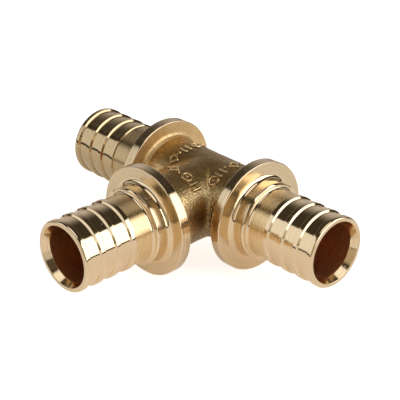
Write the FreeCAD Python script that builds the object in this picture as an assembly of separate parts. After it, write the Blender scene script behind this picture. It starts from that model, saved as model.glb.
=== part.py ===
"""Tee for expanded plastic pipe: one brass forging with three equal ribbed spigots turned on its ends.

The run lies along X, with a spigot at each end, and the branch points along -Y.
The origin is where the three axes cross, and +Z is up: the tee lies on the rims of its three flanges.
Lengths are in millimetres. Along a spigot, places are measured outwards from the flange's outer face.
"""
import FreeCAD
import Part
import os

# waterway
bore_radius = 8.3
mouth_bevel_width = 1.0
mouth_bevel_depth = 2.1

# forged middle
body_wall = 3.5
branch_tube_undersize = 0.15
crotch_fillet = 1.5
run_jaw_gap = 6.1
branch_jaw_gap = 11.3

# flanges that stop the sliding sleeves
flange_height = 4.95
flange_thickness = 3.3
flange_edge_bevel = 0.3
flange_root_fillet = 1.5

# neck between a flange and its spigot
neck_step = 1.45
neck_length = 4.8
neck_bevel = 0.45
neck_root_fillet = 2.0
spigot_root_fillet = 0.8

# ribbed spigot
spigot_wall = 1.8
plain_rise = 0.2
plain_length = 6.25
rib_height = 0.6
rib_pitch = 5.48
ribs_behind_lip = 3
rib_land = 1.3
rib_front_length = 0.5
rib_back_length = 0.5
lip_rounding = 0.4

# sizes that follow
groove_radius = bore_radius + spigot_wall
rib_radius = groove_radius + rib_height
plain_radius = groove_radius + plain_rise
neck_radius = plain_radius + neck_step
flange_radius = neck_radius + flange_height
run_tube_radius = bore_radius + body_wall
branch_tube_radius = run_tube_radius - branch_tube_undersize
mouth_radius = bore_radius + mouth_bevel_width
run_flange_place = run_tube_radius + run_jaw_gap
branch_flange_place = run_tube_radius + branch_jaw_gap
rib_zone_length = lip_rounding + rib_land + ribs_behind_lip * rib_pitch + rib_back_length
spigot_length = neck_length + plain_length + rib_zone_length
run_reach = run_flange_place + flange_thickness + spigot_length
branch_reach = branch_flange_place + flange_thickness + spigot_length

ALONG_X = FreeCAD.Vector(1, 0, 0)
UP = FreeCAD.Vector(0, 0, 1)
CENTRE = FreeCAD.Vector(0, 0, 0)
TURN_TO_BRANCH = -90
TURN_TO_FAR_RUN = 180
HALF_DIAGONAL = 0.5 ** 0.5


def place(along, radius):
    """A point of an outline, at a distance along the arm and a distance from its axis."""
    return FreeCAD.Vector(along, 0, radius)


def straight_edges(points):
    """Straight edges through a row of points."""
    return [Part.makeLine(start, end) for start, end in zip(points, points[1:])]


def inside_corner(centre_along, centre_radius, fillet, start_along):
    """A quarter arc that fills a corner, from its place nearest the flange to its place nearest the tip.

    The arc's centre lies in the open air. start_along is -1 where the arc starts on the side of the centre
    nearest the origin, which turns a wall into a cylinder, and +1 for the mirrored case.
    """
    middle = place(centre_along + start_along * fillet * HALF_DIAGONAL, centre_radius - fillet * HALF_DIAGONAL)
    wall_end = place(centre_along + start_along * fillet, centre_radius)
    cylinder_end = place(centre_along, centre_radius - fillet)
    return Part.Arc(wall_end, middle, cylinder_end).toShape()


def flange_points(face):
    """The flange's outline from its body side to its outer face, with both edges broken."""
    back = face - flange_thickness
    bevel = flange_edge_bevel
    return [
        place(back, flange_radius - bevel),
        place(back + bevel, flange_radius),
        place(face - bevel, flange_radius),
        place(face, flange_radius - bevel),
    ]


def rib_points(crest_middle):
    """One rib, listed from the foot of its back slope, over its flat land, to the foot of its front slope."""
    land_back = crest_middle - rib_land / 2
    land_front = crest_middle + rib_land / 2
    return [
        place(land_back - rib_back_length, groove_radius),
        place(land_back, rib_radius),
        place(land_front, rib_radius),
        place(land_front + rib_front_length, groove_radius),
    ]


def arm_outline(tube_radius, flange_back):
    """Closed outline of one arm, from the centre of the tee to the tip, with its axis as the last edge."""
    face = flange_back + flange_thickness
    neck_end = face + neck_length
    tip = face + spigot_length
    lip_crest = tip - lip_rounding - rib_land / 2
    lip_back = lip_crest - rib_land / 2

    body_fillet = inside_corner(
        flange_back - flange_root_fillet, tube_radius + flange_root_fillet, flange_root_fillet, 1)
    neck_fillet = inside_corner(
        face + neck_root_fillet, neck_radius + neck_root_fillet, neck_root_fillet, -1)
    spigot_fillet = inside_corner(
        neck_end + spigot_root_fillet, plain_radius + spigot_root_fillet, spigot_root_fillet, -1)

    edges = [Part.makeLine(place(0, tube_radius), place(flange_back - flange_root_fillet, tube_radius))]
    edges += [body_fillet]
    edges += straight_edges(
        [place(flange_back, tube_radius + flange_root_fillet)]
        + flange_points(face)
        + [place(face, neck_radius + neck_root_fillet)])
    edges += [neck_fillet]
    edges += straight_edges([
        place(face + neck_root_fillet, neck_radius),
        place(neck_end - neck_bevel, neck_radius),
        place(neck_end, neck_radius - neck_bevel),
        place(neck_end, plain_radius + spigot_root_fillet),
    ])
    edges += [spigot_fillet]

    ribbed = [place(neck_end + spigot_root_fillet, plain_radius)]
    for count in range(ribs_behind_lip, 0, -1):
        rib = rib_points(lip_crest - count * rib_pitch)
        if count == ribs_behind_lip:
            rib[0] = place(rib[0].x, plain_radius)
        ribbed += rib
    ribbed += [
        place(lip_back - rib_back_length, groove_radius),
        place(lip_back, rib_radius),
        place(tip - lip_rounding, rib_radius),
    ]
    edges += straight_edges(ribbed)
    lip_middle = place(
        tip - lip_rounding + lip_rounding * HALF_DIAGONAL, rib_radius - lip_rounding + lip_rounding * HALF_DIAGONAL)
    edges += [Part.Arc(ribbed[-1], lip_middle, place(tip, rib_radius - lip_rounding)).toShape()]
    edges += straight_edges([place(tip, rib_radius - lip_rounding), place(tip, 0), place(0, 0), place(0, tube_radius)])
    return Part.Wire(Part.__sortEdges__(edges))


def arm(tube_radius, flange_back, turn):
    """A solid arm turned about its axis, swung to its direction about the tee's upright axis."""
    solid = Part.Face(arm_outline(tube_radius, flange_back)).revolve(CENTRE, ALONG_X, 360)
    solid.rotate(CENTRE, UP, turn)
    return solid


def crotch_edges(body):
    """The edges where the branch tube leaves the run tube, which stay within the middle of the tee."""
    limit = run_tube_radius + crotch_fillet
    found = []
    for edge in body.Edges:
        box = edge.BoundBox
        near = max(abs(box.XMin), abs(box.XMax)) < limit and box.YMin > -limit
        crosses = box.ZMax - box.ZMin > branch_tube_radius and box.XMax - box.XMin > branch_tube_radius
        if near and crosses and box.YMin < -bore_radius:
            found.append(edge)
    return found


def waterway(reach, turn):
    """One drilled bore, from the centre past the tip, with the bevel at its mouth."""
    bore = Part.makeCylinder(bore_radius, reach, CENTRE, ALONG_X)
    bevel = Part.makeCone(
        bore_radius, mouth_radius, mouth_bevel_depth, FreeCAD.Vector(reach - mouth_bevel_depth, 0, 0), ALONG_X)
    passage = bore.fuse(bevel)
    passage.rotate(CENTRE, UP, turn)
    return passage


def make_tee():
    """The whole fitting: three arms as one forging, blended at the crotch, then drilled from its three ends."""
    run = arm(run_tube_radius, run_flange_place, 0).fuse(
        arm(run_tube_radius, run_flange_place, TURN_TO_FAR_RUN)).removeSplitter()
    branch = arm(branch_tube_radius, branch_flange_place, TURN_TO_BRANCH)
    body = run.fuse(branch).removeSplitter()
    body = body.makeFillet(crotch_fillet, crotch_edges(body))
    for reach, turn in ((run_reach, 0), (run_reach, TURN_TO_FAR_RUN), (branch_reach, TURN_TO_BRANCH)):
        body = body.cut(waterway(reach, turn))
    return body.removeSplitter().Solids[0]


os.makedirs("parts", exist_ok=True)
tee = make_tee()
tee.exportStep("parts/tee_body.step")
print("tee_body volume", round(tee.Volume, 1), "mm3, valid", tee.isValid(), ", box", tee.BoundBox)
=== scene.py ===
"""Pex tee: one brass forging with three turned, ribbed spigots, on a pale studio floor.

The CAD solid is a single node. Here it is replaced by one closed surface worked out with numpy: each arm is a
turned outline carried round its axis, and the three arms meet on the mitre curves of the forged middle, whose
crotch is then rounded by a smooth union of its two tubes. Sizes inside the classes are millimetres, and each
arm's own places are measured along its axis from the centre of the tee.
"""
import logging
import math
from dataclasses import dataclass, field
from enum import Enum

import bmesh
import bpy
import numpy as np
from mathutils import Matrix, Vector


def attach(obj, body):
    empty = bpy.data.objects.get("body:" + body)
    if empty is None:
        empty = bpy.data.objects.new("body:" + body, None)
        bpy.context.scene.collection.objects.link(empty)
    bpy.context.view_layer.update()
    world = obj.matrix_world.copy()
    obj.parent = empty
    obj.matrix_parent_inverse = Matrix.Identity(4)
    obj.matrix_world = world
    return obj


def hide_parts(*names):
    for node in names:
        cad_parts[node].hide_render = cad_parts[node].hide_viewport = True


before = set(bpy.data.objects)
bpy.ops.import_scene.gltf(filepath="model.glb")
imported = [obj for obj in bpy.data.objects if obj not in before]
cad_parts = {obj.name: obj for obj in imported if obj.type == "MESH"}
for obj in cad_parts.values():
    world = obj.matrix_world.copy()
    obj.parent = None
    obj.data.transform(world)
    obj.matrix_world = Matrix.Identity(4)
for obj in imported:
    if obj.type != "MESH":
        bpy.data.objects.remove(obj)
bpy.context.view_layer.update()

MM = 0.001
MERGE = 0.002 * MM
BODY = "root"
NODE = "tee_body"
MAP = "UVMap"
MAP_UNIT = 100.0
RISE = "rise"
TINY = 1e-6
UP = np.array([0.0, 0.0, 1.0])
WHITE = (1.0, 1.0, 1.0)

Colour = tuple[float, float, float]
Span = tuple[float, float]
Socket = bpy.types.NodeSocket
Sockets = bpy.types.bpy_prop_collection

log = logging.getLogger("pex_tee")


def eased(share: np.ndarray) -> np.ndarray:
    """The smooth step 3 t^2 - 2 t^3 of shares t, which are first held between 0 and 1."""
    t = np.clip(share, 0.0, 1.0)
    return t * t * (3 - 2 * t)


def metres(lengths: Span) -> list[float]:
    """Two lengths in millimetres, in metres."""
    return [length * MM for length in lengths]


class Arm(Enum):
    """The tee's three arms, by their directions: the two ends of the run, and the branch."""

    RUN_PLUS = (1.0, 0.0, 0.0)
    RUN_MINUS = (-1.0, 0.0, 0.0)
    BRANCH = (0.0, -1.0, 0.0)

    @property
    def axis(self) -> np.ndarray:
        """The direction from the centre of the tee to this arm's mouth."""
        return np.array(self.value)

    @property
    def side(self) -> np.ndarray:
        """The level direction of angle 0 round this arm: towards the branch on the run, +X on the branch."""
        return np.array([1.0, 0.0, 0.0]) if self is Arm.BRANCH else np.array([0.0, -1.0, 0.0])

    def place(self, along: np.ndarray, radius: np.ndarray, angle: np.ndarray) -> np.ndarray:
        """Points at distances along the arm and from its axis, at angles from its side towards +Z."""
        level, height = radius * np.cos(angle), radius * np.sin(angle)
        return along[..., None] * self.axis + level[..., None] * self.side + height[..., None] * UP

    def seam(self, radius: float, angle: np.ndarray) -> np.ndarray:
        """Where a tube starts along this arm: on the 45 degree mitre, and on the run's back at 0."""
        level = radius * np.cos(angle)
        return np.abs(level) if self is Arm.BRANCH else np.maximum(level, 0.0)


class Zone(Enum):
    """The kinds of surface on the tee, in the order of its material slots."""

    FORGED = 0
    TURNED = 1
    FACED = 2
    PLAIN = 3
    DRILLED = 4
    MATT = 5
    RIM = 6
    MOUTH = 7
    NECK = 8


@dataclass(frozen=True)
class Corner:
    """A corner of a turned outline: its place, its rounding, its zone and the zone after it, if another."""

    along: float
    radius: float
    rounding: float = 0.0
    zone: Zone = Zone.TURNED
    after: Zone | None = None


@dataclass(frozen=True)
class SpigotSizes:
    """Sizes of one turned end, the same on all three arms.

    As reflections show, the ribs' slopes are a little steeper than the solid's, the lip is rounder and the
    fillet behind the neck is smaller. The leads are the short straights at the outline's two ends.
    """

    bore_radius: float = 8.3
    bore_lead: float = 1.2
    mouth_bevel_width: float = 1.0
    mouth_bevel_depth: float = 2.1
    tube_radius: float = 11.8
    tube_lead: float = 0.05
    flange_height: float = 4.95
    flange_thickness: float = 3.3
    flange_edge: float = 0.28
    flange_root: float = 1.5
    neck_radius: float = 11.75
    neck_length: float = 4.8
    neck_bevel: float = 0.45
    neck_root: float = 1.5
    spigot_root: float = 0.8
    plain_radius: float = 10.3
    plain_length: float = 6.25
    groove_radius: float = 10.1
    rib_radius: float = 10.7
    rib_pitch: float = 5.48
    rib_land: float = 1.3
    rib_slope: float = 0.5
    slope_steepening: float = 0.07
    ribs_behind_lip: int = 3
    lip_length: float = 0.4
    lip_rounding: float = 0.75
    foot_edge: float = 0.1
    crest_edge: float = 0.08
    neck_edge: float = 0.2
    mouth_edge: float = 0.15
    bore_edge: float = 0.3

    @property
    def length(self) -> float:
        """The spigot's length, from the flange's outer face to the tip."""
        ribs = self.lip_length + self.rib_land + self.ribs_behind_lip * self.rib_pitch + self.rib_slope
        return self.neck_length + self.plain_length + ribs

    @property
    def flange_radius(self) -> float:
        """The radius of the flange's rim."""
        return self.neck_radius + self.flange_height

    def tube_end(self, flange_back: float) -> float:
        """Where the forged tube ends, just before a flange that starts at flange_back."""
        return flange_back - self.flange_root - self.tube_lead


@dataclass
class TurnedOutline:
    """The outline of one turned end: from the forged tube over flange, neck, ribs and lip into the bore.

    An arc takes steps of arc_step. A long straight has a point at the distance support from both ends. Two
    roundings together take up no more than most of the straight between them.
    """

    sizes: SpigotSizes
    flange_back: float
    arc_step: float = math.radians(14.0)
    support: float = 0.2
    most: float = 0.98

    def corners(self) -> list[Corner]:
        """The outline's corners.

        Returns:
            The corners in order, from the forged tube to just inside the bore.
        """
        s = self.sizes
        face = self.flange_back + s.flange_thickness
        neck_end = face + s.neck_length
        tip = face + s.length
        bevel_end = tip - s.mouth_bevel_depth
        crest = tip - s.lip_length - s.rib_land / 2
        rows = [
            Corner(s.tube_end(self.flange_back), s.tube_radius, zone=Zone.FORGED),
            Corner(self.flange_back, s.tube_radius, s.flange_root, Zone.MATT),
            Corner(self.flange_back, s.flange_radius, s.flange_edge, after=Zone.RIM),
            Corner(face, s.flange_radius, s.flange_edge, after=Zone.FACED),
            Corner(face, s.neck_radius, s.neck_root, after=Zone.NECK),
            Corner(neck_end - s.neck_bevel, s.neck_radius, s.neck_edge),
            Corner(neck_end, s.neck_radius - s.neck_bevel, s.foot_edge),
            Corner(neck_end, s.plain_radius, s.spigot_root, after=Zone.PLAIN),
        ]
        rows += self.rib(crest - s.ribs_behind_lip * s.rib_pitch, s.plain_radius)
        for count in range(s.ribs_behind_lip - 1, 0, -1):
            rows += self.rib(crest - count * s.rib_pitch, s.groove_radius)
        rows += self.rib(crest, s.groove_radius)[:2]
        rows += [
            Corner(tip, s.rib_radius, s.lip_rounding),
            Corner(tip, s.bore_radius + s.mouth_bevel_width, s.mouth_edge, after=Zone.MOUTH),
            Corner(bevel_end, s.bore_radius, s.bore_edge, Zone.DRILLED),
            Corner(bevel_end - s.bore_lead, s.bore_radius, zone=Zone.DRILLED),
        ]
        return rows

    def rib(self, crest: float, foot: float) -> list[Corner]:
        """One rib's corners, from the foot of its back slope over its land to the foot of its front slope.

        Both slopes have the same angle, so the back slope is shorter where it rises from the plain stretch.

        Args:
            crest: the middle of the rib's land, along the arm.
            foot: the radius that the back slope rises from.

        Returns:
            Four corners.
        """
        s = self.sizes
        half_land = s.rib_land / 2 + s.slope_steepening
        slope = s.rib_slope - 2 * s.slope_steepening
        back_slope = slope * (s.rib_radius - foot) / (s.rib_radius - s.groove_radius)
        return [
            Corner(crest - half_land - back_slope, foot, s.foot_edge),
            Corner(crest - half_land, s.rib_radius, s.crest_edge),
            Corner(crest + half_land, s.rib_radius, s.crest_edge),
            Corner(crest + half_land + slope, s.groove_radius, s.foot_edge),
        ]

    def points(self) -> tuple[np.ndarray, np.ndarray]:
        """The rounded outline.

        A corner where the direction turns by an angle is cut back on both sides by its rounding times the
        tangent of half the angle. The arc's points are centre + radius * (u sin(t) - n cos(t)), with u the
        incoming direction, n the inward normal and t from 0 to the angle.

        Returns:
            Points (along, radius), and the zone number of each stretch that starts at a point.
        """
        rows = self.corners()
        place = np.array([[c.along, c.radius] for c in rows])
        steps = np.diff(place, axis=0)
        lengths = np.linalg.norm(steps, axis=1)
        units = steps / lengths[:, None]
        turns = np.arccos(np.clip(np.sum(units[:-1] * units[1:], axis=1), -1.0, 1.0))
        rounding = np.array([c.rounding for c in rows[1:-1]])
        cut = np.concatenate([[0.0], rounding * np.tan(turns / 2), [0.0]])
        room = lengths / np.maximum(cut[:-1] + cut[1:], TINY) * self.most
        cut[1:-1] *= np.minimum(1.0, np.minimum(room[:-1], room[1:]))
        found, zones = [place[0][None]], [[rows[0].zone.value]]
        for index, turn in enumerate(turns, start=1):
            u, v = units[index - 1], units[index]
            radius = cut[index] / math.tan(turn / 2)
            normal = (v - (v @ u) * u) / math.sin(turn)
            centre = place[index] - u * cut[index] + normal * radius
            t = np.linspace(0.0, turn, max(2, math.ceil(turn / self.arc_step)) + 1)[:, None]
            found.append(centre + radius * (u * np.sin(t) - normal * np.cos(t)))
            zone, after = rows[index].zone, rows[index].after or rows[index].zone
            zones.append([zone.value] * (len(t) - 1) + [after.value])
        found.append(place[-1][None])
        zones.append([rows[-1].zone.value])
        return self.supported(np.concatenate(found), np.concatenate(zones))

    def supported(self, points: np.ndarray, zones: np.ndarray) -> tuple[np.ndarray, np.ndarray]:
        """Adds a point near both ends of each long straight, so that its shading stays flat in between.

        Args:
            points: the outline's points.
            zones: the zone number of the stretch that starts at each point.

        Returns:
            The same two arrays with the added points.
        """
        found, kinds = [points[0]], [zones[0]]
        for start, end, zone, last in zip(points, points[1:], zones, zones[1:]):
            step = np.linalg.norm(end - start)
            if step > 3 * self.support:
                unit = (end - start) / step
                found += [start + unit * self.support, end - unit * self.support]
                kinds += [zone, zone]
            found.append(end)
            kinds.append(last)
        return np.array(found), np.array(kinds)


@dataclass(frozen=True)
class Wave:
    """A sine wave through space: its radians per millimetre along x, y and z, its phase and its strength."""

    pitch: tuple[float, float, float]
    phase: float
    strength: float = 1.0

    def at(self, p: np.ndarray) -> np.ndarray:
        """The wave at points: strength * sin(p . pitch + phase)."""
        return self.strength * np.sin(p @ np.array(self.pitch) + self.phase)


@dataclass
class ForgedMiddle:
    """The forged middle's two crossing tubes, blended where they meet and slightly uneven, as forgings are.

    The unevenness fades out over the distance calm before the turned ends.
    """

    tube_radius: float = 11.8
    crotch: float = 2.2
    probe: float = 0.01
    newton_steps: int = 6
    unevenness: float = 0.05
    calm: float = 2.5
    waves: tuple[Wave, ...] = (
        Wave((0.9, 0.5, 0.4), 0.7),
        Wave((-0.5, 1.1, 0.7), 2.1),
        Wave((0.4, -0.8, 1.3), 4.0),
        Wave((1.3, 0.2, -1.2), 5.2, 0.6),
    )

    def depth(self, p: np.ndarray) -> np.ndarray:
        """How far points lie outside the blended tubes.

        The run tube gives a = |(y, z)| - R, and the branch tube b = max(|(x, z)| - R, y). The blend is
        min(a, b) - k h^2 / 4 with h = max(k - |a - b|, 0) / k, where k is the crotch width times one less the
        cosine between the tubes' normals, so that it fades out on top, where the tubes run into each other.

        Args:
            p: points.

        Returns:
            One distance for each point.
        """
        run = np.hypot(p[:, 1], p[:, 2])
        branch = np.hypot(p[:, 0], p[:, 2])
        cosine = p[:, 2] ** 2 / np.maximum(run * branch, TINY)
        a, b = run - self.tube_radius, np.maximum(branch - self.tube_radius, p[:, 1])
        k = np.maximum(self.crotch * (1.0 - cosine), TINY)
        h = np.maximum(k - np.abs(a - b), 0.0) / k
        return np.minimum(a, b) - k * h * h / 4

    def slope(self, p: np.ndarray) -> np.ndarray:
        """The gradient of the depth, by central differences over the distance probe on both sides."""
        steps = self.probe * np.eye(3)
        return np.stack([(self.depth(p + s) - self.depth(p - s)) / (2 * self.probe) for s in steps], axis=1)

    def blended(self, p: np.ndarray) -> np.ndarray:
        """The points moved onto the blended surface, by Newton steps p - depth g / |g|^2 down the gradient g.

        Args:
            p: points near the surface.

        Returns:
            The moved points.
        """
        for _ in range(self.newton_steps):
            g = self.slope(p)
            p = p - (self.depth(p) / np.maximum(np.sum(g * g, axis=1), TINY))[:, None] * g
        return p

    def uneven(self, p: np.ndarray, share: np.ndarray) -> np.ndarray:
        """The points moved in and out along the normal by crossing waves of 3.5 to 6 millimetres.

        The move is unevenness * share * (the waves' sum / the sum of their strengths).

        Args:
            p: points on the surface.
            share: how much each point may move, from 0 at the turned ends to 1.

        Returns:
            The moved points.
        """
        waves = sum(wave.at(p) for wave in self.waves) / sum(wave.strength for wave in self.waves)
        g = self.slope(p)
        return p + (self.unevenness * waves * share)[:, None] * g / np.linalg.norm(g, axis=1)[:, None]


@dataclass(frozen=True)
class Stroke:
    """A raised line of a mark, placed round the tube and along it: a bar, or a ring where it has no end."""

    start: tuple[float, float]
    end: tuple[float, float] | None = None
    radius: float = 0.0
    half_width: float = 0.52

    def distance(self, around: np.ndarray, along: np.ndarray) -> np.ndarray:
        """How far points lie from the stroke's middle line.

        That is the distance to a bar's nearest point, and | |p - centre| - radius | for a ring.

        Args:
            around: places round the tube.
            along: places along the tube.

        Returns:
            One distance for each point.
        """
        if self.end is None:
            return np.abs(np.hypot(around - self.start[0], along - self.start[1]) - self.radius)
        run, rise = self.end[0] - self.start[0], self.end[1] - self.start[1]
        share = ((around - self.start[0]) * run + (along - self.start[1]) * rise) / (run * run + rise * rise)
        share = np.clip(share, 0.0, 1.0)
        return np.hypot(around - self.start[0] - share * run, along - self.start[1] - share * rise)


def diamond(centre: float, size: float) -> list[Stroke]:
    """Four bars that make a square on its corner."""
    corners = [(centre - size, 0.0), (centre, size), (centre + size, 0.0), (centre, -size)]
    return [Stroke(a, b) for a, b in zip(corners, corners[1:] + corners[:1])]


def pip(around: float, along: float = 0.0, size: float = 0.55) -> Stroke:
    """A small round mark."""
    return Stroke((around, along), half_width=size)


def target(centre: float, size: float) -> list[Stroke]:
    """A ring with a pip in its middle."""
    return [Stroke((centre, 0.0), radius=size), pip(centre)]


def bars(centre: float, gap: float, size: float) -> list[Stroke]:
    """Two upright bars."""
    return [Stroke((place, -size), (place, size)) for place in (centre - gap / 2, centre + gap / 2)]


@dataclass(frozen=True)
class ForgingMark:
    """A row of plain raised marks left by the die, laid round one arm's forged tube as a thin closed patch.

    The patch's upper side is the forged surface, sunk by a little and raised by the strokes, so only they are
    seen. With t one less the distance over the half width, a stroke rises by its height times the smooth step
    of t * bluntness, which leaves its top flat.
    """

    name: str
    arm: Arm
    along: float
    middle_angle: float
    half_length: float
    half_width: float
    strokes: tuple[Stroke, ...]
    height: float = 0.55
    bluntness: float = 1.6
    sunk: float = 0.03
    depth: float = 0.5
    cell: float = 0.1

    def build(self, skin: "TeeSkin") -> bpy.types.Object:
        """The patch as a closed mesh, with the strokes' rise as a point attribute.

        Args:
            skin: the skin that it lies on.

        Returns:
            The patch, still without a material.
        """
        across = np.arange(-self.half_length, self.half_length + self.cell / 2, self.cell)
        down = np.arange(-self.half_width, self.half_width + self.cell / 2, self.cell)
        around, along = np.meshgrid(across, down, indexing="ij")
        radius = np.full(around.shape, skin.sizes.tube_radius)
        angle = math.radians(self.middle_angle) + around / skin.sizes.tube_radius
        base = self.arm.place(self.along + along, radius, angle).reshape(-1, 3)
        base = skin.forged_surface(base, self.arm, (self.along + along).reshape(-1))
        normal = skin.middle.slope(base)
        normal /= np.linalg.norm(normal, axis=1)[:, None]
        near = 1.0 - np.min([s.distance(around, along) / s.half_width for s in self.strokes], axis=0)
        rise = eased(near * self.bluntness).reshape(-1, 1)
        upper, lower = base + normal * (rise * self.height - self.sunk), base - normal * self.depth
        patch = solid_patch(self.name, upper, lower, around.shape)
        layer = patch.data.attributes.new(RISE, "FLOAT", "POINT")
        layer.data.foreach_set("value", np.concatenate([rise, rise]).astype(np.float32).reshape(-1))
        return patch


def solid_patch(name: str, upper: np.ndarray, lower: np.ndarray, shape: tuple[int, int]) -> bpy.types.Object:
    """A closed mesh of an upper and a lower grid of points, with a strip of faces round their rims.

    Args:
        name: the object's name.
        upper: the upper side's points.
        lower: the lower side's points, in the same order.
        shape: the rows and columns of both grids.

    Returns:
        The object, linked to the scene and shaded smooth.
    """
    rows, columns = shape
    index = np.arange(rows * columns).reshape(rows, columns)
    top = np.stack([index[:-1, :-1], index[1:, :-1], index[1:, 1:], index[:-1, 1:]], axis=-1).reshape(-1, 4)
    rim = np.concatenate([index[0, :-1], index[:-1, -1], index[-1, :0:-1], index[:0:-1, 0]])
    ahead = np.roll(rim, -1)
    under = rows * columns
    side = np.stack([rim, ahead, ahead + under, rim + under], axis=-1)
    faces = np.concatenate([top, top[:, ::-1] + under, side])
    return linked(name, closed(new_mesh(name, np.concatenate([upper, lower]), faces)))


def new_mesh(name: str, points: np.ndarray, faces: np.ndarray) -> bpy.types.Mesh:
    """A mesh from points in millimetres and faces that list their numbers.

    Args:
        name: the mesh's name.
        points: a row for each point.
        faces: a row of point numbers for each face.

    Returns:
        The mesh, in metres.
    """
    mesh = bpy.data.meshes.new(name)
    mesh.from_pydata((points * MM).tolist(), [], faces.tolist())
    return mesh


def linked(name: str, data: bpy.types.ID) -> bpy.types.Object:
    """A new object with this mesh or camera, linked to the scene.

    Args:
        name: the object's name.
        data: what it shows.

    Returns:
        The object, at the origin.
    """
    made = bpy.data.objects.new(name, data)
    bpy.context.scene.collection.objects.link(made)
    return made


def closed(mesh: bpy.types.Mesh) -> bpy.types.Mesh:
    """Merges the seams' doubled points, turns all faces outwards and shades them smooth.

    Args:
        mesh: the mesh to mend.

    Returns:
        The same mesh.
    """
    work = bmesh.new()
    work.from_mesh(mesh)
    bmesh.ops.remove_doubles(work, verts=work.verts, dist=MERGE)
    bmesh.ops.recalc_face_normals(work, faces=work.faces)
    work.to_mesh(mesh)
    work.free()
    mesh.polygons.foreach_set("use_smooth", np.ones(len(mesh.polygons), bool))
    mesh.update()
    return mesh


@dataclass
class TeeSkin:
    """The whole outside and bore of the tee as one closed mesh.

    The forged tubes' rows lie closer together at the mitre, by the power crowding.
    """

    sizes: SpigotSizes = field(default_factory=SpigotSizes)
    middle: ForgedMiddle = field(default_factory=ForgedMiddle)
    run_flange_place: float = 17.9
    branch_flange_place: float = 23.1
    round_steps: int = 144
    tube_rows: int = 36
    bore_rows: int = 8
    crowding: float = 1.35

    def flange_back(self, arm: Arm) -> float:
        """Where the arm's flange begins, from the centre of the tee."""
        return self.branch_flange_place if arm is Arm.BRANCH else self.run_flange_place

    def forged_surface(self, points: np.ndarray, arm: Arm, along: np.ndarray) -> np.ndarray:
        """Points of an arm's plain tube, at these distances along it, moved onto the forged surface."""
        share = (self.sizes.tube_end(self.flange_back(arm)) - along) / self.middle.calm
        return self.middle.uneven(self.middle.blended(points), eased(share))

    def arm_grid(self, arm: Arm) -> tuple[np.ndarray, np.ndarray, np.ndarray]:
        """One arm as a grid of rows along its outline and columns round its axis.

        The tube's rows run straight from the mitre to the turned outline. Then come the outline's own points,
        and the bore's rows back to the inner mitre.

        Args:
            arm: which arm.

        Returns:
            Points of shape (rows, columns, 3), each row's zone number, and its length along the outline.
        """
        s = self.sizes
        outline, zones = TurnedOutline(s, self.flange_back(arm)).points()
        angle = np.linspace(0.0, 2 * np.pi, self.round_steps, endpoint=False)
        t = (np.linspace(0.0, 1.0, self.tube_rows, endpoint=False) ** self.crowding)[:, None]
        start = arm.seam(s.tube_radius, angle)[None]
        tube_along = start + (outline[0, 0] - start) * t
        end = arm.seam(s.bore_radius, angle)[None]
        q = np.linspace(0.0, 1.0, self.bore_rows + 1)[1:, None]
        bore_along = outline[-1, 0] + (end - outline[-1, 0]) * q
        turned_along = np.broadcast_to(outline[:, :1], (len(outline), self.round_steps))
        along = np.concatenate([tube_along, turned_along, bore_along])
        radius = np.concatenate([
            np.full(self.tube_rows, s.tube_radius), outline[:, 1], np.full(self.bore_rows, s.bore_radius)])
        grid = arm.place(along, *np.broadcast_arrays(radius[:, None], angle))
        forged = self.forged_surface(grid[:self.tube_rows].reshape(-1, 3), arm, tube_along.reshape(-1))
        grid[:self.tube_rows] = forged.reshape(self.tube_rows, self.round_steps, 3)
        kind = np.concatenate([
            np.full(self.tube_rows, Zone.FORGED.value), zones, np.full(self.bore_rows, Zone.DRILLED.value)])
        steps = np.hypot(np.diff(along[:, 0]), np.diff(radius))
        return grid, kind, np.concatenate([[0.0], np.cumsum(steps)])

    def build(self) -> bpy.types.Object:
        """Joins the three arms' grids at their mitres and makes the mesh, with its zones and its map.

        The map holds the share of a turn round the arm, and the length along the outline in map units.

        Returns:
            The tee, still without materials.
        """
        turn = np.arange(self.round_steps + 1) / self.round_steps
        points, faces, kinds, maps = [], [], [], []
        base = 0
        for arm in Arm:
            grid, zones, run = self.arm_grid(arm)
            index = base + np.arange(grid[..., 0].size).reshape(grid.shape[:2])
            ahead = np.roll(index, -1, axis=1)
            points.append(grid.reshape(-1, 3))
            faces.append(np.stack([index[:-1], index[1:], ahead[1:], ahead[:-1]], axis=-1).reshape(-1, 4))
            kinds.append(np.repeat(zones[:-1], self.round_steps))
            low, high, near, far = np.broadcast_arrays(
                turn[:-1], turn[1:], run[:-1, None] / MAP_UNIT, run[1:, None] / MAP_UNIT)
            maps.append(np.stack([low, near, low, far, high, far, high, near], axis=-1).reshape(-1))
            base += index.size
        mesh = new_mesh("tee", np.concatenate(points), np.concatenate(faces))
        mesh.polygons.foreach_set("material_index", np.concatenate(kinds).astype(np.int32))
        layer = mesh.uv_layers.new(name=MAP)
        layer.data.foreach_set("uv", np.concatenate(maps).astype(np.float32))
        return linked("tee", closed(mesh))


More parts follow.
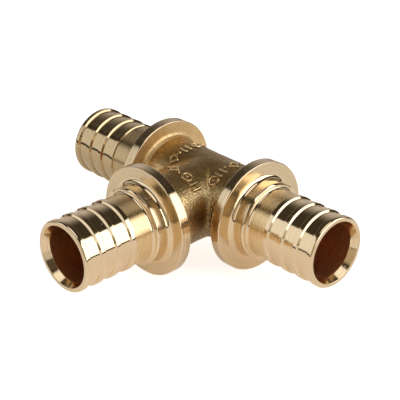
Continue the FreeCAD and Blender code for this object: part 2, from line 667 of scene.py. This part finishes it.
class NodeTree:
    """A small helper that adds and links shader nodes in one tree."""

    def __init__(self, tree: bpy.types.NodeTree) -> None:
        """Starts with an empty tree."""
        self.tree = tree
        tree.nodes.clear()

    def add(self, kind: str, inputs: dict | None = None, **settings: object) -> bpy.types.Node:
        """Adds one node.

        Args:
            kind: the node's type name.
            inputs: for each input, by name or place, a value or a socket that feeds it.
            settings: the node's own settings.

        Returns:
            The node.
        """
        node = self.tree.nodes.new(kind)
        for name, value in settings.items():
            setattr(node, name, value)
        for name, value in (inputs or {}).items():
            if isinstance(value, Socket):
                self.tree.links.new(value, node.inputs[name])
            else:
                node.inputs[name].default_value = value
        return node

    def effect(self, kind: type["SurfaceEffect"], inputs: dict) -> Sockets:
        """The outputs of a surface effect's group, with these values or sockets as its inputs."""
        return self.add("ShaderNodeGroup", inputs, node_tree=kind.group()).outputs

    def object_place(self) -> Socket:
        """The place in object coordinates, in metres."""
        return self.add("ShaderNodeTexCoord").outputs["Object"]

    def parts(self, place: Socket) -> Sockets:
        """The three numbers of a place or direction."""
        return self.add("ShaderNodeSeparateXYZ", {0: place}).outputs

    def math(self, operation: str, *values: object) -> Socket:
        """One sum on numbers or sockets, and its result."""
        return self.add("ShaderNodeMath", dict(enumerate(values)), operation=operation).outputs[0]

    def times(self, first: object, second: object) -> Socket:
        """The product of two numbers or sockets."""
        return self.math("MULTIPLY", first, second)

    def left(self, value: Socket, loss: float) -> Socket:
        """What is left of one: 1 - value * loss."""
        return self.math("SUBTRACT", 1.0, self.times(value, loss))

    def vector(self, operation: str, *values: object) -> Sockets:
        """One vector sum on vectors or sockets, and its outputs."""
        return self.add("ShaderNodeVectorMath", dict(enumerate(values)), operation=operation).outputs

    def scaled(self, colour: object, share: Socket) -> Socket:
        """A colour or colour socket times a share."""
        return self.add("ShaderNodeVectorMath", {0: colour, "Scale": share}, operation="SCALE").outputs[0]

    def mix(self, share: Socket, first: object, second: object) -> Socket:
        """A mix of two colours or colour sockets, by a share from 0 to 1."""
        values = [(*value, 1.0) if isinstance(value, tuple) else value for value in (share, first, second)]
        return self.add("ShaderNodeMix", dict(zip((0, 6, 7), values)), data_type="RGBA").outputs[2]

    def smooth(self, value: Socket, none: float, full: float) -> Socket:
        """A smooth step of a value: 0 at none, 1 at full, and held outside them. Either may be the higher."""
        ends = {"Value": value, "From Min": none, "From Max": full}
        return self.add("ShaderNodeMapRange", ends, interpolation_type="SMOOTHSTEP").outputs["Result"]

    def noise(self, inputs: dict, dimensions: str = "3D") -> Socket:
        """A noise with these values or sockets as its inputs."""
        return self.add("ShaderNodeTexNoise", inputs, noise_dimensions=dimensions).outputs["Fac"]

    def bump(self, height: Socket, depth: float) -> Socket:
        """The normal of a relief whose heights from 0 to 1 make up a depth in millimetres."""
        inputs = {"Height": height, "Strength": 1.0, "Distance": depth * MM}
        return self.add("ShaderNodeBump", inputs).outputs[0]

    def away(self, angle: Socket, centre: float) -> Socket:
        """How far an angle lies from another, in degrees, the short way round."""
        offset = self.math("SUBTRACT", angle, centre)
        return self.math("ABSOLUTE", self.math("WRAP", offset, 180.0, -180.0))


class SurfaceEffect(NodeTree):
    """A surface effect that several finishes share: a shader node group, made on its first use."""

    name: str
    inputs: dict[str, str]
    outputs: tuple[str, ...]

    @classmethod
    def group(cls) -> bpy.types.NodeTree:
        """The effect's node group, with its named inputs and outputs.

        Returns:
            The group, which is the same one at each call.
        """
        if cls.name in bpy.data.node_groups:
            return bpy.data.node_groups[cls.name]
        tree = bpy.data.node_groups.new(cls.name, "ShaderNodeTree")
        for name, kind in cls.inputs.items():
            tree.interface.new_socket(name, in_out="INPUT", socket_type=kind)
        for name in cls.outputs:
            tree.interface.new_socket(name, in_out="OUTPUT", socket_type="NodeSocketFloat")
        nodes = cls(tree)
        nodes.add("NodeGroupOutput", nodes.results(nodes.add("NodeGroupInput").outputs))
        return tree

    def results(self, given: Sockets) -> dict[str, Socket]:
        """What the group gives out, by name, from its inputs. Each effect has its own."""
        raise NotImplementedError


class TurningMarks(SurfaceEffect):
    """The fine rings that a lathe tool leaves, read from the piece's own map.

    A noise of the length along the outline makes rings that run all the way round. A second noise also reads
    the share of a turn, and breaks them into long streaks.
    """

    name = "turning_marks"
    inputs = {"Map": "NodeSocketVector", "Lines per mm": "NodeSocketFloat", "Broken": "NodeSocketFloat"}
    outputs = ("Height", "Streaks", "Rings")
    streaks_a_turn = 9.0
    streak_range = (0.35, 0.7)
    ring_range = (0.48, 0.66)

    def results(self, given: Sockets) -> dict[str, Socket]:
        """What the group gives out.

        Args:
            given: the group's inputs.

        Returns:
            The mixed noises as the height, the streaks' mask and the rings' mask.
        """
        places = self.parts(given["Map"])
        lines = self.times(self.times(places["Y"], MAP_UNIT), given["Lines per mm"])
        turn = self.times(places["X"], self.streaks_a_turn)
        long = self.add("ShaderNodeCombineXYZ", {0: turn, 1: lines}).outputs[0]
        rings = self.noise({"W": lines, "Scale": 1.0, "Detail": 3.0, "Roughness": 0.6}, "1D")
        streaks = self.noise({"Vector": long, "Scale": 1.0, "Detail": 2.0}, "2D")
        shares = {"Factor": given["Broken"], "A": rings, "B": streaks}
        height = self.add("ShaderNodeMix", shares).outputs["Result"]
        return {
            "Height": height,
            "Streaks": self.smooth(streaks, *self.streak_range),
            "Rings": self.smooth(height, *self.ring_range),
        }


class Nicks(SurfaceEffect):
    """Rare small nicks and specks, read from object coordinates.

    Each cell of some 1.3 millimetres holds one round speck. Only those with a high random number are shown.
    """

    name = "nicks"
    inputs = {"Place": "NodeSocketVector"}
    outputs = ("Mask",)
    cells_a_metre = 760.0
    speck_range = (0.2, 0.1)
    rarity = 0.86

    def results(self, given: Sockets) -> dict[str, Socket]:
        """What the group gives out.

        Args:
            given: the group's inputs.

        Returns:
            The specks' mask.
        """
        inputs = {"Vector": given["Place"], "Scale": self.cells_a_metre}
        cells = self.add("ShaderNodeTexVoronoi", inputs).outputs
        draw = self.add("ShaderNodeSeparateColor", {0: cells["Color"]}).outputs[0]
        speck = self.smooth(cells["Distance"], *self.speck_range)
        return {"Mask": self.times(speck, self.math("GREATER_THAN", draw, self.rarity))}


class ForgingGrain(SurfaceEffect):
    """The fine sandy skin and the soft stains of a blasted forging, read from object coordinates.

    Two noises of 0.7 and 0.2 millimetre make the skin's height. The first one's low places are the specks. A
    third noise, of some 4 millimetres, makes the stains.
    """

    name = "forging_grain"
    inputs = {"Place": "NodeSocketVector"}
    outputs = ("Height", "Stains", "Specks")
    coarse_scale = 1400.0
    coarse_share = 0.8
    fine_scale = 4500.0
    stain_scale = 260.0
    stain_range = (0.32, 0.68)
    speck_range = (0.62, 0.38)

    def results(self, given: Sockets) -> dict[str, Socket]:
        """What the group gives out.

        Args:
            given: the group's inputs.

        Returns:
            The height, the stains' mask and the specks' mask.
        """
        place = given["Place"]
        coarse = self.noise({"Vector": place, "Scale": self.coarse_scale, "Detail": 2.0, "Roughness": 0.6})
        fine = self.noise({"Vector": place, "Scale": self.fine_scale, "Detail": 1.0})
        stains = self.noise({"Vector": place, "Scale": self.stain_scale, "Detail": 4.0, "Roughness": 0.6})
        finer = self.times(fine, 1.0 - self.coarse_share)
        return {
            "Height": self.math("ADD", self.times(coarse, self.coarse_share), finer),
            "Stains": self.smooth(stains, *self.stain_range),
            "Specks": self.smooth(coarse, *self.speck_range),
        }


@dataclass(frozen=True)
class Finish:
    """A finish: a material with one shader, made from named values."""

    name: str

    def material(self) -> bpy.types.Material:
        """Makes the material.

        Returns:
            The new material.
        """
        made = bpy.data.materials.new(self.name)
        made.use_nodes = True
        nodes = NodeTree(made.node_tree)
        shader = nodes.add("ShaderNodeBsdfPrincipled", self.feed(nodes))
        nodes.add("ShaderNodeOutputMaterial", {"Surface": shader.outputs[0]})
        return made

    def feed(self, nodes: NodeTree) -> dict:
        """What feeds the shader's inputs, by name. Each finish has its own."""
        raise NotImplementedError


@dataclass(frozen=True)
class TurnedBrass(Finish):
    """Turned brass: reflections are sharp round the axis and spread along it by the tool's rings.

    The run's far end is duller: painted shade on it grows between two places on -X, in millimetres.
    """

    name: str = "turned_brass"
    colour: Colour = (0.86, 0.68, 0.45)
    shade: Colour = (0.81, 0.61, 0.37)
    roughness: float = 0.07
    streak_roughness: float = 0.03
    nick_roughness: float = 0.4
    anisotropy: float = 0.4
    spread_turn: float = 0.25
    ring_height: float = 0.0005
    ring_shade: float = 0.05
    lines: float = 5.0
    broken: float = 0.5
    painted_far_shade: float = 0.75
    painted_far_colour: Colour = (0.5, 0.37, 0.2)
    painted_far_range: Span = (16.0, 24.0)

    def feed(self, nodes: NodeTree) -> dict:
        """What feeds the shader: the brass with its streaks, rings, nicks and the painted shade of the run's
        far end.

        Args:
            nodes: the material's nodes.

        Returns:
            The shader's inputs, by name.
        """
        place = nodes.object_place()
        turned = nodes.add("ShaderNodeUVMap", uv_map=MAP).outputs[0]
        marks = nodes.effect(TurningMarks, {"Map": turned, "Lines per mm": self.lines, "Broken": self.broken})
        nicks = nodes.effect(Nicks, {"Place": place})["Mask"]
        # Painted shade: the run's far end is mixed towards a darker colour.
        far = nodes.smooth(nodes.times(nodes.parts(place)["X"], -1.0), *metres(self.painted_far_range))
        colour = nodes.mix(marks["Streaks"], self.colour, self.shade)
        colour = nodes.mix(nodes.times(far, self.painted_far_shade), colour, self.painted_far_colour)
        rough = nodes.math("ADD", nodes.times(marks["Streaks"], self.streak_roughness), self.roughness)
        return {
            "Base Color": nodes.scaled(colour, nodes.left(marks["Rings"], self.ring_shade)),
            "Roughness": nodes.math("ADD", rough, nodes.times(nicks, self.nick_roughness)),
            "Metallic": 1.0,
            "Anisotropic": self.anisotropy,
            "Anisotropic Rotation": self.spread_turn,
            "Normal": nodes.bump(marks["Height"], self.ring_height),
            "Tangent": nodes.add("ShaderNodeTangent", direction_type="UV_MAP", uv_map=MAP).outputs[0],
        }


@dataclass(frozen=True)
class ForgedBrass(Finish):
    """Blasted forged brass: a matt gold with a sandy, pitted skin, soft stains and painted shade on its upper
    side.

    Places are millimetres, and each range goes from none to full. The painted shade on the upper side grows
    with the height. The painted shade of the crotch grows towards the crotch in plan, and downwards. The
    painted shade at a mark's foot follows its rise.
    """

    name: str = "forged_brass"
    colour: Colour = (0.97, 0.73, 0.39)
    stain: Colour = (0.82, 0.58, 0.28)
    # Painted shade: the darker colour that the upper side is mixed towards.
    top: Colour = (0.4, 0.24, 0.08)
    painted_top_shade_share: float = 0.94
    painted_top_shade_range: Span = (5.5, 10.5)
    roughness: float = 0.27
    pit_roughness: float = 0.1
    grain_height: float = 0.19
    pit_shade: float = 0.32
    crotch_shade: float = 0.6
    crotch_place: Span = (12.5, -12.5)
    crotch_range: Span = (9.0, 3.0)
    crotch_heights: Span = (7.5, 1.0)
    foot_shade: float = 0.0
    foot_range: Span = (0.55, 0.25)

    def feed(self, nodes: NodeTree) -> dict:
        """What feeds the shader: the brass with its grain, pits, stains, and painted shade on its top and in
        its crotch.

        Args:
            nodes: the material's nodes.

        Returns:
            The shader's inputs, by name.
        """
        place = nodes.object_place()
        grain = nodes.effect(ForgingGrain, {"Place": place})
        height = nodes.parts(place)["Z"]
        # Painted shade: the upper side is mixed towards the darker top colour as the height grows.
        upper = nodes.times(nodes.smooth(height, *metres(self.painted_top_shade_range)), self.painted_top_shade_share)
        colour = nodes.mix(grain["Stains"], self.colour, self.stain)
        colour = nodes.mix(upper, colour, self.top)
        # Painted shade in the crotch: darker near it in plan and low down.
        plan = nodes.vector("MULTIPLY", place, (1.0, 1.0, 0.0))[0]
        apart = nodes.vector("DISTANCE", plan, (*metres(self.crotch_place), 0.0))["Value"]
        low = nodes.smooth(height, *metres(self.crotch_heights))
        crotch_painted_shade = nodes.times(nodes.smooth(apart, *metres(self.crotch_range)), low)
        light = nodes.times(nodes.left(grain["Specks"], self.pit_shade), nodes.left(crotch_painted_shade, self.crotch_shade))
        # Painted shade at the foot of a mark's strokes, where they rise from the skin.
        if self.foot_shade:
            rise = nodes.add("ShaderNodeAttribute", attribute_name=RISE).outputs["Fac"]
            light = nodes.times(light, nodes.left(nodes.smooth(rise, *self.foot_range), self.foot_shade))
        return {
            "Base Color": nodes.scaled(colour, light),
            "Roughness": nodes.math("ADD", self.roughness, nodes.times(grain["Specks"], self.pit_roughness)),
            "Metallic": 1.0,
            "Normal": nodes.bump(grain["Height"], self.grain_height),
        }


@dataclass(frozen=True)
class PaleFloor(Finish):
    """A slightly mottled floor that glows a little, and more to the camera, so that it looks pale."""

    name: str = "pale_floor"
    colour: Colour = (0.89, 0.86, 0.83)
    seen_colour: Colour = (0.86, 0.86, 0.86)
    mottle: float = 0.98
    mottle_scale: float = 40.0
    glow: float = 0.3
    seen_glow: float = 0.45

    def feed(self, nodes: NodeTree) -> dict:
        """What feeds the shader: one colour and glow for the camera, and another for the brass's reflections.

        Args:
            nodes: the material's nodes.

        Returns:
            The shader's inputs, by name.
        """
        mottle = nodes.noise({"Vector": nodes.object_place(), "Scale": self.mottle_scale, "Detail": 3.0})
        darker = tuple(value * self.mottle for value in self.colour)
        seen = nodes.add("ShaderNodeLightPath").outputs["Is Camera Ray"]
        return {
            "Base Color": nodes.mix(seen, nodes.mix(mottle, self.colour, darker), self.seen_colour),
            "Roughness": 0.85,
            "Specular IOR Level": 0.1,
            "Emission Color": nodes.mix(seen, self.colour, WHITE),
            "Emission Strength": nodes.math("ADD", nodes.times(seen, self.seen_glow), self.glow),
        }


def finishes() -> dict[Zone, Finish]:
    """The finish of each zone."""
    return {
        Zone.FORGED: ForgedBrass(),
        Zone.TURNED: TurnedBrass(),
        Zone.FACED: TurnedBrass(
            "faced_brass", colour=(0.78, 0.62, 0.4), shade=(0.74, 0.58, 0.37), roughness=0.17,
            anisotropy=0.6, ring_height=0.0008, ring_shade=0.03, lines=3.0),
        # The brass's own colour, made more golden as painted reflection of the warm flange and neck.
        Zone.PLAIN: TurnedBrass(
            "coarse_turned_brass", colour=(0.91, 0.67, 0.37), shade=(0.85, 0.6, 0.3), roughness=0.25,
            anisotropy=0.93, ring_height=0.001, ring_shade=0.2, lines=3.6, broken=0.15),
        # The bore's brass, made redder as painted reflection of the light bounced round inside it.
        Zone.DRILLED: TurnedBrass(
            "drilled_brass", colour=(0.82, 0.5, 0.25), shade=(0.7, 0.4, 0.18), roughness=0.3,
            anisotropy=0.6, ring_height=0.0006, lines=2.2, painted_far_shade=0.0),
        Zone.MATT: ForgedBrass(
            "matt_brass", colour=(0.86, 0.62, 0.32), stain=(0.76, 0.53, 0.26), painted_top_shade_share=0.2,
            roughness=0.4, grain_height=0.06, pit_shade=0.14, crotch_shade=0.0),
        Zone.RIM: TurnedBrass(
            "rim_brass", roughness=0.1, anisotropy=0.8, ring_height=0.008, ring_shade=0.55, lines=3.2,
            broken=0.1),
        Zone.MOUTH: TurnedBrass(
            "mouth_brass", colour=(0.9, 0.71, 0.46), roughness=0.12, anisotropy=0.6, ring_height=0.001,
            ring_shade=0.06, lines=4.0),
        Zone.NECK: TurnedBrass(
            "neck_brass", colour=(0.9, 0.7, 0.44), roughness=0.12, anisotropy=0.85, ring_height=0.003,
            ring_shade=0.3, lines=3.2, broken=0.15),
    }


@dataclass(frozen=True)
class Softbox:
    """A bright panel far away: the directions that it fills, in degrees, its brightness and its soft edge."""

    azimuths: Span
    elevations: Span
    radiance: float
    colour: Colour = (1.0, 1.0, 1.0)
    edge: float = 1.0

    def light(self, nodes: NodeTree, azimuth: Socket, elevation: Socket) -> Socket:
        """The panel's light in a direction.

        Args:
            nodes: the world's nodes.
            azimuth: the direction's azimuth, in degrees.
            elevation: its elevation, in degrees.

        Returns:
            A colour socket.
        """
        share = 1.0
        for angle, ends in ((azimuth, self.azimuths), (elevation, self.elevations)):
            half = (ends[1] - ends[0]) / 2
            apart = nodes.away(angle, sum(ends) / 2)
            share = nodes.times(share, nodes.smooth(apart, half + self.edge, half - self.edge))
        return nodes.scaled(Vector(self.colour) * self.radiance, share)


@dataclass
class Studio:
    """The floor under the flange rims, and the soft light round it.

    Azimuths are degrees from +X towards +Y, and elevations degrees over the horizon. The backdrop's ranges go
    from none to full: angles aside of its azimuth, and elevations at its top and its foot.
    """

    floor_level: float = -16.7
    floor_radius: float = 230.0
    floor_sides: int = 128
    backdrop: Colour = (0.5, 0.49, 0.49)
    backdrop_azimuth: float = 140.0
    backdrop_sides: Span = (66.0, 48.0)
    backdrop_top: Span = (52.0, 13.0)
    backdrop_foot: Span = (-4.0, -2.0)
    ceiling: Colour = (0.048, 0.04, 0.028)
    boxes: tuple[Softbox, ...] = (
        Softbox((-12.0, 61.0), (-0.3, 46.0), 2.3, (0.97, 0.99, 1.02)),
        Softbox((-150.0, -80.0), (-0.3, 41.5), 0.94, (0.97, 1.0, 1.03)),
        Softbox((-200.0, 200.0), (66.0, 100.0), 1.1, edge=3.0),
        Softbox((-80.0, -36.0), (-2.0, 50.0), 0.45, (1.0, 0.86, 0.62), edge=6.0),
        Softbox((-26.0, -12.0), (-4.0, 22.0), 0.55, (1.0, 0.97, 0.92), edge=2.0),
    )

    def floor(self) -> None:
        """Builds the floor: one face round a circle, radius * (cos t, sin t) for evenly spaced angles t."""
        turn = np.linspace(0.0, 2 * np.pi, self.floor_sides, endpoint=False)
        x, y = self.floor_radius * np.cos(turn), self.floor_radius * np.sin(turn)
        rim = np.stack([x, y, np.full(self.floor_sides, self.floor_level)], axis=1)
        floor = linked("floor", new_mesh("floor", rim, np.arange(self.floor_sides)[None]))
        floor.data.materials.append(PaleFloor().material())

    def world(self) -> None:
        """Builds the world: white where the camera looks past the floor, and soft panels for all else."""
        world = bpy.data.worlds.new("studio")
        world.use_nodes = True
        nodes = NodeTree(world.node_tree)
        direction = nodes.parts(nodes.add("ShaderNodeTexCoord").outputs["Generated"])
        azimuth = nodes.math("DEGREES", nodes.math("ARCTAN2", direction["Y"], direction["X"]))
        elevation = nodes.math("DEGREES", nodes.math("ARCSINE", direction["Z"]))
        share = nodes.smooth(nodes.away(azimuth, self.backdrop_azimuth), *self.backdrop_sides)
        for ends in (self.backdrop_top, self.backdrop_foot):
            share = nodes.times(share, nodes.smooth(elevation, *ends))
        total = nodes.vector("ADD", nodes.scaled(self.backdrop, share), self.ceiling)[0]
        for box in self.boxes:
            total = nodes.vector("ADD", total, box.light(nodes, azimuth, elevation))[0]
        seen = nodes.add("ShaderNodeLightPath").outputs["Is Camera Ray"]
        inputs = {"Color": nodes.mix(seen, total, WHITE), "Strength": 1.0}
        light = nodes.add("ShaderNodeBackground", inputs).outputs[0]
        nodes.add("ShaderNodeOutputWorld", {"Surface": light})
        bpy.context.scene.world = world


@dataclass(frozen=True)
class Viewpoint:
    """The photograph's camera.

    Its angles are degrees, and its distance is in rib radii. The focal length, the picture's width and the
    place of the tee's centre are pixels.
    """

    azimuth: float = 46.7513
    elevation: float = 27.9005
    roll: float = -0.3747
    distance: float = 40.6221
    rib_radius: float = 10.7
    focal_length: float = 1449.696
    picture: float = 400.0
    centre: Span = (209.1611, 191.8957)
    sensor: float = 36.0
    clip: Span = (0.01, 20.0)

    def camera(self) -> None:
        """Builds the camera, moved aside so that the tee's centre falls on its own pixel."""
        a, e, r = (math.radians(v) for v in (self.azimuth, self.elevation, self.roll))
        back = Vector((math.sin(a) * math.cos(e), -math.cos(a) * math.cos(e), math.sin(e)))
        level = Vector((math.cos(a), math.sin(a), 0.0))
        up = back.cross(level)
        right, top = level * math.cos(r) + up * math.sin(r), up * math.cos(r) - level * math.sin(r)
        reach = self.distance * self.rib_radius * MM
        aside = [(pixel - self.picture / 2) / self.focal_length * reach for pixel in self.centre]
        eye = back * reach - right * aside[0] + top * aside[1]
        data = bpy.data.cameras.new("camera")
        data.sensor_width = self.sensor
        data.lens = self.focal_length / self.picture * self.sensor
        data.clip_start, data.clip_end = self.clip
        camera = linked("camera", data)
        turned = Matrix((right, top, back)).transposed().to_4x4()
        camera.matrix_world = Matrix.Translation(eye) @ turned
        bpy.context.scene.camera = camera


def set_picture() -> None:
    """Shows light as it is, so that white stays white, and lets light bounce deep into the bores."""
    view = bpy.context.scene.view_settings
    view.view_transform = "Standard"
    view.look = "None"
    view.exposure = 0.0
    view.gamma = 1.0
    cycles = bpy.context.scene.cycles
    cycles.max_bounces = 16
    cycles.glossy_bounces = 12
    cycles.use_denoising = True


def forging_marks() -> list[ForgingMark]:
    """The rows of plain marks: one on each half of the run, one on the branch and one in the crotch."""
    return [
        ForgingMark("marks_run_minus", Arm.RUN_MINUS, 8.7, 86.0, 8.2, 2.2, (
            *diamond(-5.6, 1.5), pip(-2.9), *bars(-0.4, 1.8, 1.3), *target(3.7, 1.4),
            pip(6.6, 0.8), pip(6.6, -0.8))),
        ForgingMark("marks_run_plus", Arm.RUN_PLUS, 9.2, 78.0, 7.4, 2.2, (
            *target(-4.9, 1.45), *bars(-1.6, 1.9, 1.3), pip(0.9, -0.9), *diamond(3.6, 1.5), pip(6.4))),
        ForgingMark("marks_branch", Arm.BRANCH, 12.8, 76.0, 7.2, 2.2, (
            *bars(-5.2, 1.9, 1.3), *target(-1.4, 1.45), pip(1.3, 0.8), *diamond(4.0, 1.5), pip(6.5))),
        ForgingMark("marks_crotch", Arm.RUN_PLUS, 12.9, 2.0, 5.6, 1.2, tuple(
            pip(place, size=0.75) for place in np.linspace(-4.6, 4.6, 6)), height=0.6),
    ]


def main() -> None:
    """Builds the camera, the tee with its marks, and the studio in order, and reports each piece."""
    logging.basicConfig(level=logging.INFO, format="%(name)s: %(message)s")
    Viewpoint().camera()
    set_picture()
    skin = TeeSkin()
    tee = skin.build()
    of_zone = finishes()
    for zone in Zone:
        tee.data.materials.append(of_zone[zone].material())
    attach(tee, BODY)
    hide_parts(NODE)
    log.info("tee: %d faces, %d points", len(tee.data.polygons), len(tee.data.vertices))
    # The marks' finish: rubbed smoother, its upper side mixed towards a lighter colour than the body's
    # painted top shade, partly wear and partly painted highlight, with painted shade at each stroke's foot.
    rubbed_and_painted = ForgedBrass(
        "rubbed_forged_brass_with_painted_shade", top=(0.8, 0.56, 0.27), roughness=0.2, grain_height=0.05, pit_shade=0.15,
        foot_shade=0.82).material()
    for mark in forging_marks():
        patch = mark.build(skin)
        patch.data.materials.append(rubbed_and_painted)
        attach(patch, BODY)
        log.info("%s: %d faces", mark.name, len(patch.data.polygons))
    studio = Studio()
    studio.floor()
    studio.world()
    log.info("studio: floor and %d soft panels", len(studio.boxes))


if __name__ == "__main__":
    main()
